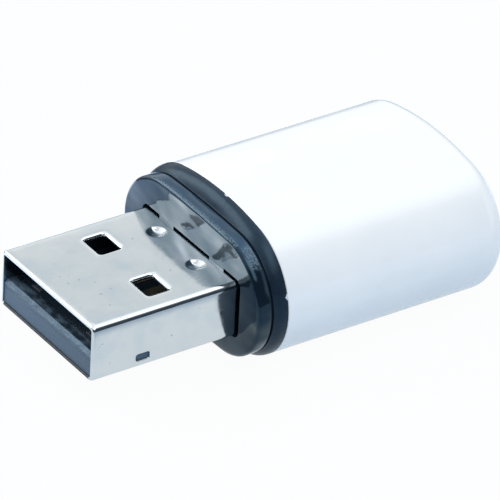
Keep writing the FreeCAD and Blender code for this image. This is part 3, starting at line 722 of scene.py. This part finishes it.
# Two-ended parts
# Fired ceramic capacitors, resistors, ferrite parts and the chip antenna. Each has a tinned cap on both
# ends, a quarter of its length long, by which it is soldered to the board. Those set across the board have
# their caps there.
ceramic_colours = {
    "capacitor_ceramic": (0.48, 0.36, 0.24), "resistor_ceramic": (0.05, 0.05, 0.055),
    "ferrite_grey": (0.12, 0.12, 0.13), "antenna_ceramic": (0.86, 0.84, 0.78)}
bare_share = 0.5
for part in frame["record"]["subparts"]:
    if part["material_slot"] in ceramic_colours:
        low, high = box_of(part["node"])
        lengthwise = high[0] - low[0] > high[1] - low[1]
        across = (bare_share, whole) if lengthwise else (whole, bare_share)
        colour = ceramic_colours[part["material_slot"]]
        part_material(part["node"], across, (part_foot, whole), colour, 0.55, tin)


# Front cover
# The glossy black moulding that closes the body's front. The plug stands through its oval face with a narrow
# gap, which four small ribs bridge, and a spigot behind it snaps into the sleeve.
cover_low, cover_high = box_of("front_cover")
body_low, body_high = box_of("body_sleeve")
ring_low, ring_high = box_of("collar_ring")
body_half = np.array((9.0, 5.675)) * mm
body_axis_z = body_high[2] - body_half[1]
body_crown = 0.4 * mm
cover_half = body_half - np.array((0.28, 0.85)) * mm
cover_crown = 0.1 * mm
cover_front_x = cover_low[0]
cover_back_x = ring_low[0]
spigot_rear_x = cover_high[0]
cover_edge_radius = 0.3 * mm
cover_rear_radius = 0.06 * mm
opening_gap = np.array((0.24, 0.14)) * mm
opening_corner = 0.6 * mm
opening_lip = 0.06 * mm
tunnel_reach = 1.8 * mm
tunnel_rear_x = cover_back_x + tunnel_reach
sleeve_wall = 1.1 * mm
spigot_fit = 0.06 * mm
spigot_wall = 0.9 * mm
grip_rib_y = (2.3 * mm, 4.1 * mm)
grip_rib_set_back = 0.01 * mm
grip_rib_rise = 0.6 * mm
rubbed_highlight_edge_near_y = -5.3 * mm
rubbed_highlight_edge_above_axis = 3.0 * mm
rubbed_highlight_corner_y = (-7.1 * mm, -5.7 * mm)
rubbed_highlight_corner_above_axis = 3.4 * mm
rubbed_highlight_corner_set_back = 0.45 * mm
straight_steps = (24, 64)
corner_steps = 10
round_steps = 5


def oval(angle, half_width, half_height, crown, inset=0.0):
    """An oval of four tangent arcs, at polar angles about its centre, and moved inwards by an inset.

    The side arcs have a radius of half the height less the crown, and the top and bottom arcs the one radius
    that meets them without a corner. Each point is where the ray at its angle leaves the arc that it meets.
    """
    side_radius = half_height - crown
    side_centre = half_width - side_radius
    top_radius = (side_centre ** 2 + half_height ** 2 - side_radius ** 2) / (2 * crown)
    lean = math.atan2(side_centre, top_radius - half_height)
    shoulder = math.atan2(side_radius * math.cos(lean), side_centre + side_radius * math.sin(lean))
    ray = np.stack([np.cos(angle), np.sin(angle)], axis=1)
    on_side = np.abs(ray[:, 1]) < math.sin(shoulder)
    radius = np.where(on_side, side_radius, top_radius)
    centre = np.stack([np.where(on_side, side_centre * np.sign(ray[:, 0]), 0.0),
                       np.where(on_side, 0.0, (half_height - top_radius) * np.sign(ray[:, 1]))], axis=1)
    along = (ray * centre).sum(axis=1)
    reach = along + np.sqrt(radius ** 2 - (centre ** 2).sum(axis=1) + along ** 2)
    point = ray * reach[:, None]
    return point - inset * (point - centre) / radius[:, None]


def opening(growth):
    """The rounded rectangle round the plug, grown all round, as seen from the body's axis.

    The normal turns by a right angle in each corner, and the centre of curvature moves along each straight.
    """
    tall, wide = straight_steps
    stops = np.cumsum([0, tall, corner_steps, wide, corner_steps, tall, corner_steps, wide, corner_steps])
    step = np.arange(stops[-1])
    core = np.array((plug_half_width, plug_height / 2)) + opening_gap - opening_corner
    turn = np.radians(np.interp(step, stops, (0, 0, 90, 90, 180, 180, 270, 270, 360)))
    centre = np.stack([np.interp(step, stops, core[0] * np.array((1, 1, 1, -1, -1, -1, -1, 1, 1))),
                       np.interp(step, stops, core[1] * np.array((-1, 1, 1, 1, 1, -1, -1, -1, -1)))], axis=1)
    point = centre + (opening_corner + growth) * np.stack([np.cos(turn), np.sin(turn)], axis=1)
    return point + (0.0, plug_axis_z - body_axis_z)


def loft(rings, closed=False):
    """A skin over rings of equally many points, each given as its station along the length and its outline.

    What would reach below the surface that the body rests on is pressed up to it, which leaves a narrow flat.
    """
    count = len(rings[0][1])
    points = np.concatenate([np.insert(outline + (0.0, body_axis_z), 0, x, axis=1) for x, outline in rings])
    points[:, 2] = np.maximum(points[:, 2], body_low[2])
    number = np.arange(len(rings) * count).reshape(len(rings), count)
    second = np.roll(number, -1, axis=0)
    pairs = zip(number, second) if closed else zip(number[:-1], second[:-1])
    return points, np.concatenate([ring_faces(*pair) for pair in pairs]).tolist()


def rounded_edge(face_x, depth, outline, steps=round_steps):
    """Rings round an edge from a face to the side, whose radius is the size of the depth.

    Over a quarter turn the station leaves the face by 1 - cos, and the outline's inset falls by 1 - sin.
    """
    return [(face_x + depth * (1 - math.cos(turn)), outline(abs(depth) * (1 - math.sin(turn))))
            for turn in np.linspace(0, math.pi / 2, steps + 1)]


def cover_outline(inset=0.0):
    """The cover's own outline, moved inwards by an inset."""
    return oval(cover_angle, *cover_half, cover_crown, inset)


cover_angle = np.arctan2(*opening(0.0).T[::-1])
spigot_half = body_half - sleeve_wall - spigot_fit
spigot = oval(cover_angle, *spigot_half, body_crown)
hollow = oval(cover_angle, *spigot_half, body_crown, spigot_wall)
bore = opening(0.0)
inner = np.where((np.linalg.norm(bore, axis=1) > np.linalg.norm(hollow, axis=1))[:, None], bore, hollow)
cover_rings = [(spigot_rear_x, spigot), (spigot_rear_x, inner), (tunnel_rear_x, inner), (tunnel_rear_x, bore)]
cover_rings += rounded_edge(cover_front_x, opening_lip, opening)[::-1]
cover_rings += rounded_edge(cover_front_x, cover_edge_radius, cover_outline)
cover_rings += rounded_edge(cover_back_x, -cover_rear_radius, cover_outline)[::-1]
cover_rings.append((cover_back_x, spigot))
grip_ribs = []
for side_y in ((grip_rib_y[0], grip_rib_y[1]), (-grip_rib_y[1], -grip_rib_y[0])):
    for low_z in (plug_high[2], plug_bottom_z - grip_rib_rise):
        grip_ribs.append(block((cover_front_x + grip_rib_set_back, side_y[0], low_z),
                               (tunnel_rear_x - grip_rib_set_back, side_y[1], low_z + grip_rib_rise)))
front_cover = new_piece("front_cover_moulding", ["front_cover"],
                        [loft(cover_rings, closed=True), *grip_ribs])

cover_gloss, tree, surface = new_material("cover_gloss", IOR=1.57, Specular_Tint=(0.42, 0.75, 1.0, 1.0))
flow = placed(tree, surface_grain, {"Stretch": (1.0, 0.8, 1.6), "Scale": 340.0, "Detail": 0.6})
fine = placed(tree, surface_grain, {"Scale": 9000.0, "Detail": 3.0})
# Wear and painted highlight: pale rubbed specks on the front edge's rounding and the near top corner, which
# also stand in for the highlights there
front_edge = placed(tree, region, {
    "Low": (cover_front_x + 0.1 * mm, rubbed_highlight_edge_near_y, body_axis_z + rubbed_highlight_edge_above_axis),
    "High": (cover_front_x + cover_edge_radius, cover_half[0], body_axis_z + cover_half[1]),
    "Margin": 0.08 * mm})["Mask"]
near_corner = placed(tree, region, {
    "Low": (cover_front_x + rubbed_highlight_corner_set_back, rubbed_highlight_corner_y[0],
            body_axis_z + rubbed_highlight_corner_above_axis),
    "High": (cover_back_x, rubbed_highlight_corner_y[1], body_axis_z + cover_half[1]), "Margin": 0.2 * mm})["Mask"]
rubbed_and_painted_highlight = both(tree, either(tree, front_edge, near_corner),
              ramp(tree, fine["Mask"], [(0.46, 0.0), (0.62, 1.0)]))
deep = graded(tree, flow, (0.003, 0.007, 0.013), (0.006, 0.012, 0.020))
# Painted light: faces that look up are paler and bluer, as if lit from above
upward_painted_light = ramp(tree, upward(tree), [(0.72, 0.0), (0.97, 1.0)])
deep = mixed(tree, upward_painted_light, deep, (0.020, 0.046, 0.084))
finish(tree, surface, mixed(tree, rubbed_and_painted_highlight, deep, (0.115, 0.138, 0.162)),
       mixed(tree, rubbed_and_painted_highlight, graded(tree, fine, 0.08, 0.14), (0.35, 0.35, 0.35)),
       joined_normal(tree, flow["Mask"], 0.4 * mm, fine["Mask"], 0.001 * mm))
dress(front_cover, cover_gloss)


# Collar ring
# A black ring between the cover and the sleeve. It stands a narrow parting line behind the cover, on a land
# that reaches forward to it, and flares out to the sleeve's outline.
parting_line = 0.19 * mm
flare_x = cover_back_x + parting_line
sleeve_front_x = ring_high[0]
land_depth = 0.2 * mm
collar_edge_radius = 0.05 * mm
nick_size = 0.4 * mm
nick_places = ((sleeve_front_x, -0.8 * mm, body_axis_z + 5.67 * mm),
               (sleeve_front_x, -8.77 * mm, body_axis_z + 1.54 * mm))
flare_steps = 12
flare_power = 2.6
ring_points = 288
ring_angle = np.linspace(-math.pi, math.pi, ring_points, endpoint=False)


def cavity(inset=0.0):
    """The outline of the hollow inside the collar and the sleeve, moved inwards by an inset."""
    return oval(ring_angle, *(body_half - sleeve_wall), body_crown, inset)


def flare(share, inset=0.0):
    """The collar's outline at a share of its depth.

    What it still has to widen falls with a power of the share that is left.
    """
    grown = 1 - (1 - share) ** flare_power
    half = cover_half + grown * (body_half - cover_half)
    return oval(ring_angle, *half, cover_crown + grown * (body_crown - cover_crown), inset)


land = flare(0, land_depth)
collar_rings = [(cover_back_x, cavity()), (cover_back_x, land), (flare_x, land)]
collar_rings += rounded_edge(flare_x, collar_edge_radius, lambda inset: flare(0, inset))
flare_depth = sleeve_front_x - flare_x - 2 * collar_edge_radius
collar_rings += [(flare_x + collar_edge_radius + share * flare_depth, flare(share))
                 for share in np.linspace(0, 1, flare_steps + 1)[1:]]
collar_rings += [(sleeve_front_x, flare(1, collar_edge_radius)), (sleeve_front_x, cavity())]
collar_ring = new_piece("collar_ring_flared", ["collar_ring"],
                        [loft(collar_rings, closed=True)])

collar_gloss, tree, surface = new_material("collar_gloss", IOR=1.42, Specular_Tint=(0.48, 0.77, 1.0, 1.0))
flow = placed(tree, surface_grain, {"Scale": 900.0, "Detail": 2.0})
fine = placed(tree, surface_grain, {"Scale": 8000.0, "Detail": 4.0})
nicks = [placed(tree, region, {"Low": place, "High": place, "Margin": nick_size})["Mask"]
         for place in nick_places]
nicked = ramp(tree, both(tree, either(tree, *nicks), fine["Mask"]), [(0.22, 0.0), (0.30, 1.0)])
deep = graded(tree, flow, (0.008, 0.015, 0.027), (0.012, 0.022, 0.037))
finish(tree, surface, mixed(tree, nicked, deep, (0.62, 0.65, 0.70)), graded(tree, fine, 0.26, 0.38),
       joined_normal(tree, flow["Mask"], 0.03 * mm, fine["Mask"], 0.004 * mm))
dress(collar_ring, collar_gloss)


# Body sleeve
# The glossy white cup that holds the board: one moulding of oval section, open in front and rounded behind.
# Rails inside grip the board's edges, and three stiffeners run under its roof.
sleeve_rear_x = body_high[0]
rear_radius = 1.7 * mm
rear_wall = 1.2 * mm
sleeve_edge_radius = 0.05 * mm
rear_steps = 14
rear_face_shares = (0.95, 0.5, 0.0)
rail_thickness = 0.7 * mm
rail_grip = 0.6 * mm
rail_fit = 0.05 * mm
rail_clear_of_shell = 0.9 * mm
rail_front_x = mouth_x + shell_length + rail_clear_of_shell

# How far from the middle the lower and the upper rails reach, so that they end inside the sleeve's wall
rail_reach = np.array((7.6, 8.2)) * mm
rib_root = 0.35 * mm
stiffener_y = (-3.6 * mm, 0.0, 3.6 * mm)
stiffener_thickness = 0.8 * mm
stiffener_drop = 2.0 * mm
roof_radius = 21.7 * mm
cavity_rear_x = sleeve_rear_x - rear_wall
inner_radius = rear_radius - sleeve_wall


def sleeve_outline(inset=0.0):
    """The sleeve's own outline, moved inwards by an inset."""
    return oval(ring_angle, *body_half, body_crown, inset)


sleeve_rings = [(cavity_rear_x, share * cavity()) for share in (0.0, 0.5)]
sleeve_rings += rounded_edge(cavity_rear_x, -inner_radius, cavity)
sleeve_rings += [(sleeve_front_x, cavity()), (sleeve_front_x, sleeve_outline(sleeve_edge_radius)),
                 (sleeve_front_x + sleeve_edge_radius, sleeve_outline())]
sleeve_rings += rounded_edge(sleeve_rear_x, -rear_radius, sleeve_outline, rear_steps)[::-1]
sleeve_rings += [(sleeve_rear_x, share * sleeve_outline(rear_radius)) for share in rear_face_shares]
sleeve_ribs = []
for side in (-1, 1):
    for low_z, reach in zip((board_low[2] - rail_thickness, board_high[2] + rail_fit), rail_reach):
        near_y, far_y = sorted((side * (board_high[1] - rail_grip), side * reach))
        sleeve_ribs.append(block((rail_front_x, near_y, low_z),
                                 (cavity_rear_x + rib_root, far_y, low_z + rail_thickness)))
roof = body_axis_z + body_half[1] - sleeve_wall
for y in stiffener_y:
    fall = y ** 2 / (2 * roof_radius)
    sleeve_ribs.append(block((rail_front_x, y - stiffener_thickness / 2, roof - stiffener_drop),
                             (cavity_rear_x + rib_root, y + stiffener_thickness / 2, roof - fall + rib_root)))
body_sleeve = new_piece("body_sleeve_moulding", ["body_sleeve"],
                        [loft(sleeve_rings), *sleeve_ribs])

sleeve_gloss, tree, surface = new_material("sleeve_gloss", IOR=1.5, Coat_Weight=0.4, Coat_Roughness=0.04)
flow = placed(tree, surface_grain, {"Scale": 300.0, "Detail": 1.0, "Depth": 0.002 * mm})
finish(tree, surface, graded(tree, flow, (0.87, 0.88, 0.89), (0.90, 0.905, 0.91)),
       graded(tree, flow, 0.16, 0.22), flow["Normal"])
dress(body_sleeve, sleeve_gloss)


# Floor
# A plain pale table top under the dongle. The camera sees it white but for the dongle's soft shadow. To steel
# and gloss it glows with a painted reflection that is dim in front, brighter and bluer behind, dark far
# behind, and dimmer where it is mirrored a second time.
floor_half = 1.5
floor_sheen = (0.82, 0.87, 0.90)
sheen_changes = ((0.0, 20 * mm, (1.35, 1.6, 2.05)), (-14.5 * mm, -17.5 * mm, (0.42, 0.50, 0.60)),
                 (32 * mm, 40 * mm, (0.08, 0.10, 0.13)))
second_mirror_sheen = (0.36, 0.44, 0.52)
floor_paint = (0.54, 0.66, 0.78, 1.0)
camera_glow = 0.96
mirrored_glow = 0.85
floor_mesh = bpy.data.meshes.new("floor")
floor_corners = [(side_x * floor_half, side_y * floor_half, 0)
                 for side_x, side_y in ((-1, -1), (1, -1), (1, 1), (-1, 1))]
floor_mesh.from_pydata(floor_corners, [], [(0, 1, 2, 3)])
floor = in_scene("floor", floor_mesh)
floor_white = bpy.data.materials.new("floor_white")
tree = bare_tree(floor_white)
seen = add_node(tree, "LightPath").outputs
depth = axes_of(tree, own_place(tree))["Y"]
sheen = floor_sheen
for near, far, colour in sheen_changes:
    sheen = mixed(tree, share_between(tree, depth, near, far), sheen, colour)
mirrored_twice = calculated(tree, "GREATER_THAN", seen["Glossy Depth"], 1.5)
sheen = mixed(tree, mirrored_twice, sheen, second_mirror_sheen)
shown = mixed(tree, seen["Is Camera Ray"], sheen, (1.0, 1.0, 1.0))
paint = add_node(tree, "BsdfDiffuse", {"Color": floor_paint}).outputs["BSDF"]
glow = add_node(tree, "Emission", {"Color": shown, "Strength": 1.0}).outputs["Emission"]
glow_share = either(tree, calculated(tree, "MULTIPLY", seen["Is Camera Ray"], camera_glow),
                    calculated(tree, "MULTIPLY", seen["Is Glossy Ray"], mirrored_glow))
floor_shader = add_node(tree, "MixShader", {0: glow_share, 1: paint, 2: glow})
add_node(tree, "OutputMaterial", {"Surface": floor_shader.outputs["Shader"]})
dress(floor, floor_white)


# Studio light
# A large soft lamp hangs high in front, and another stands behind on the left, where it catches the mouth's
# rim. A pale room, a little bluer and darker near the horizon, lights all sides.
def softbox(name, place, size, power, colour):
    """A square area lamp at a place, turned towards the dongle, that the camera itself doesn't see."""
    lamp = bpy.data.lights.new(name, "AREA")
    lamp.size = size
    lamp.energy = power
    lamp.color = colour
    holder = in_scene(name, lamp)
    back = Vector(place) - Vector(aim_point)
    holder.matrix_world = Matrix.Translation(place) @ back.to_track_quat("Z", "Y").to_matrix().to_4x4()
    holder.visible_camera = False


softbox("overhead_light", place=(-0.02, -0.18, 0.34), size=0.30, power=0.58, colour=(1.0, 0.99, 0.97))
softbox("rim_light", place=(-0.22, 0.30, 0.225), size=0.30, power=0.92, colour=(1.0, 1.0, 1.0))

world = bpy.data.worlds.new("studio")
bpy.context.scene.world = world
tree = bare_tree(world)
toward = axes_of(tree, add_node(tree, "TexCoord").outputs["Generated"])
height = toward["Z"]
room = ramp(tree, height, [(0.0, (0.46, 0.57, 0.70)), (0.35, (0.58, 0.67, 0.78)), (0.8, (0.62, 0.64, 0.655))])

# Steel and gloss mirror a room of their own. It changes with a height that is tilted a little back, so that
# a dimmer band lies where the plug's flat top mirrors it.
tilt = 0.45
tilted_height = calculated(tree, "MULTIPLY_ADD", toward["Y"], tilt, height)
mirrored_room = ramp(tree, tilted_height, [
    (0.42, (0.80, 0.86, 0.90)), (0.76, (0.97, 1.0, 1.0)), (0.82, (0.79, 0.835, 0.86)),
    (0.88, (0.72, 0.78, 0.81)), (0.94, (1.15, 1.2, 1.25))])

# A dark wall in front, but for its right end, gives the bends their dark lower line
backwards = calculated(tree, "ADD", toward["Y"], height)
dark_wall = both(tree, ramp(tree, backwards, [(0.1, 1.0), (0.45, 0.0)]),
                 ramp(tree, toward["X"], [(0.56, 1.0), (0.66, 0.0)]))
mirrored_room = mixed(tree, dark_wall, mirrored_room, (0.035, 0.05, 0.07))

# A bright strip high up on the right gives them their white upper line. A ramp ends at 1, so its place is a
# share of how far back and up a direction points.
ramp_share = 0.7
bright_strip = ramp(tree, calculated(tree, "MULTIPLY", backwards, ramp_share),
                    [(0.28, 0.0), (0.42, 1.0), (0.70, 1.0), (0.79, 0.0)])
bright_strip = both(tree, bright_strip, ramp(tree, height, [(0.30, 0.0), (0.50, 1.0)]))
bright_strip = both(tree, bright_strip, ramp(tree, toward["X"], [(0.15, 0.0), (0.30, 1.0)]))
mirrored_room = mixed(tree, bright_strip, mirrored_room, (2.0, 2.1, 2.25))

# A plain grey ceiling keeps the plug's top from turning white when it is seen from above
ceiling = ramp(tree, height, [(0.93, 0.0), (0.97, 1.0)])
mirrored_room = mixed(tree, ceiling, mirrored_room, (0.80, 0.85, 0.89))
seen = add_node(tree, "LightPath").outputs
lit = mixed(tree, seen["Is Glossy Ray"], room, mirrored_room)
shown = mixed(tree, seen["Is Camera Ray"], lit, (1.0, 1.0, 1.0))
backdrop = add_node(tree, "Background", {"Color": shown, "Strength": 1.0})
add_node(tree, "OutputWorld", {"Surface": backdrop.outputs["Background"]})
bpy.context.scene.view_settings.view_transform = "Standard"
